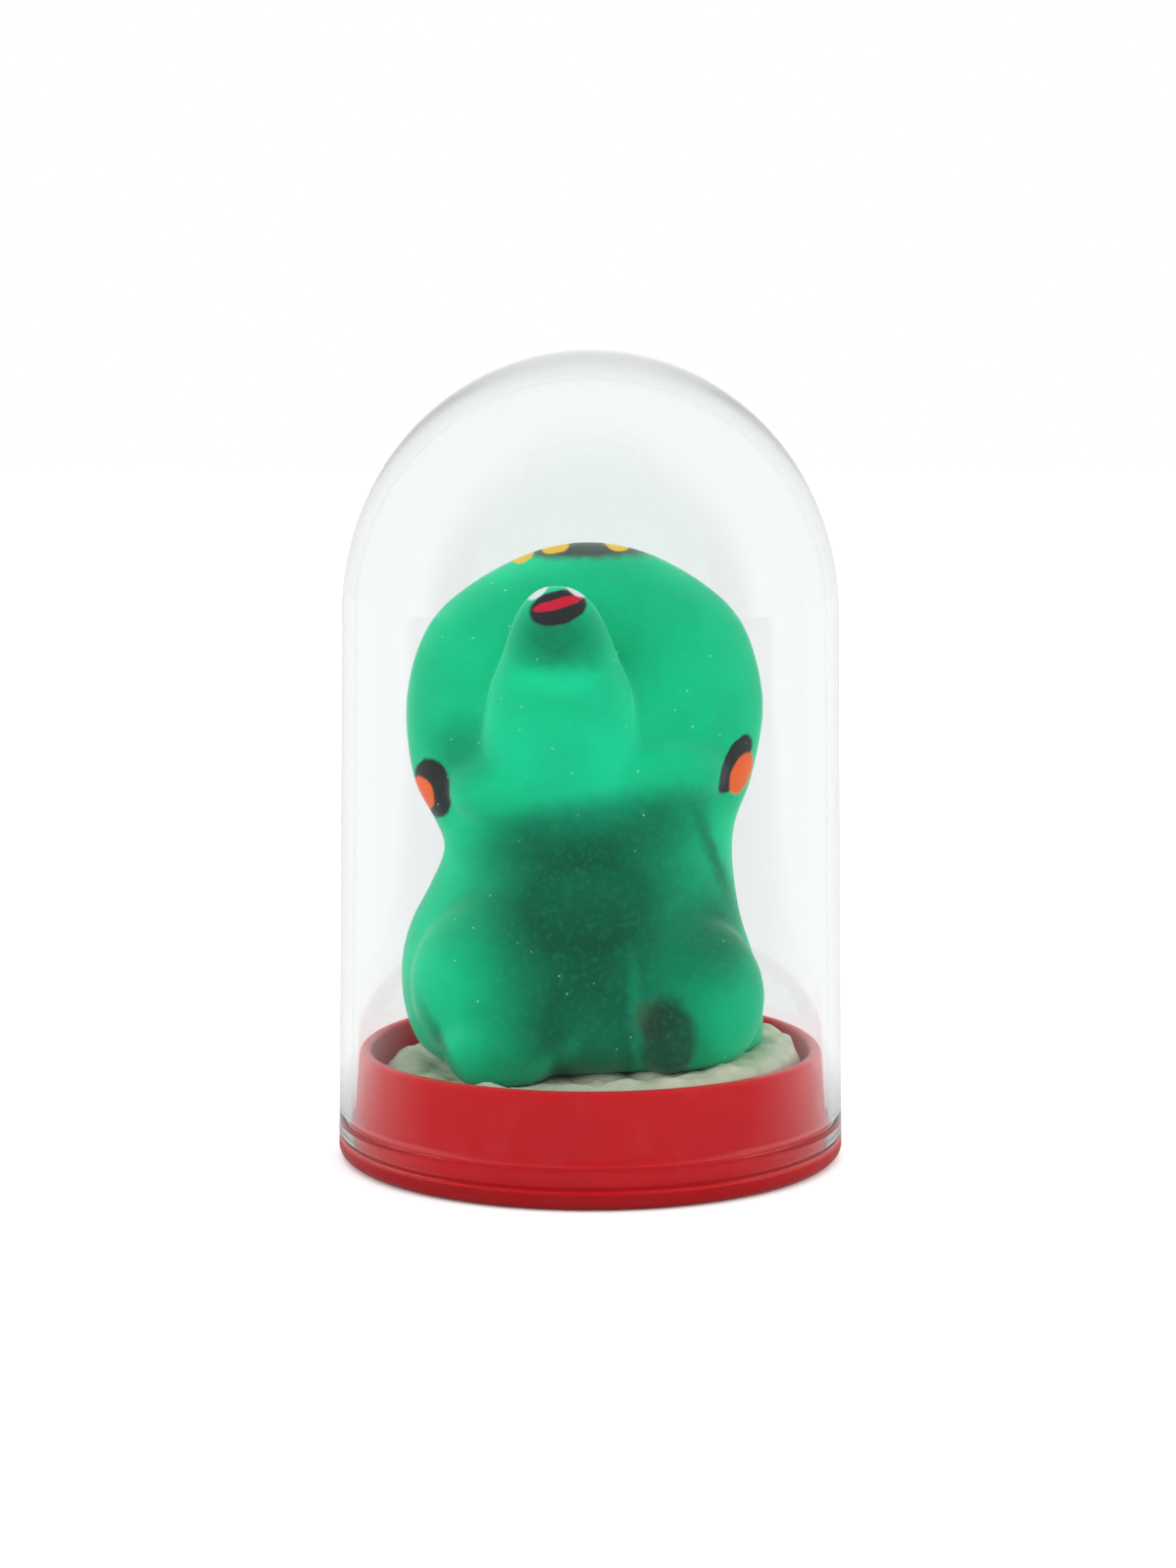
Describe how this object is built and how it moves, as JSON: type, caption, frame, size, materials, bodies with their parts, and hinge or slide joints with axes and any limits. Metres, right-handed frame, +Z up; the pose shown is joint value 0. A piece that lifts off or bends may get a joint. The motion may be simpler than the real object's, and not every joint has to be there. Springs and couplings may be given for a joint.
{
  "type": "toy vending capsule",
  "caption": "Clear bullet-shaped vending capsule on a red press-in cap, holding a soft green hooded-snake toy that stands on a wad of packing; the dome pulls off.",
  "frame": {"origin": "centre of the ring that the cap stands on", "axes": "+Z up along the capsule, -Y towards the front of the figure, +X to the viewer's right"},
  "size_m": [0.038, 0.038, 0.06],
  "materials": {
    "red_polyethylene": "satin moulded red",
    "clear_polystyrene": "clear, polished",
    "cream_packing": "soft, matte",
    "green_soft_vinyl": "translucent, satin",
    "black_paint": "matte paint",
    "red_paint": "paint",
    "orange_paint": "paint",
    "white_paint": "paint",
    "grey_paint": "thin dark paint",
    "yellow_paint": "paint"
  },
  "bodies": {
    "cap": {"cap": "red_polyethylene"},
    "dome": {"dome": "clear_polystyrene"},
    "figure": {"figure_body": "green_soft_vinyl", "mouth_lining": "black_paint", "mouth_lip": "red_paint", "hood_spot_left": "black_paint", "hood_dot_left": "orange_paint", "hood_spot_right": "black_paint", "hood_dot_right": "orange_paint", "eye_left": "white_paint", "eye_right": "white_paint", "crest_band": "grey_paint", "crest_dots": "yellow_paint"},
    "packing": {"packing_wad": "cream_packing"}
  },
  "joints": [
    {"name": "dome_lift", "type": "slide", "parent": "cap", "child": "dome", "axis": [0, 0, 1], "range_m": [0, 0.07]},
    {"name": "figure_lift", "type": "slide", "parent": "cap", "child": "figure", "axis": [0, 0, 1], "range_m": [0, 0.005]},
    {"name": "packing_lift", "type": "slide", "parent": "cap", "child": "packing", "axis": [0, 0, 1], "range_m": [0, 0.0036]}
  ],
  "couplings": [
    {"joint": "packing_lift", "follows": "figure_lift", "ratio": 0.7}
  ]
}
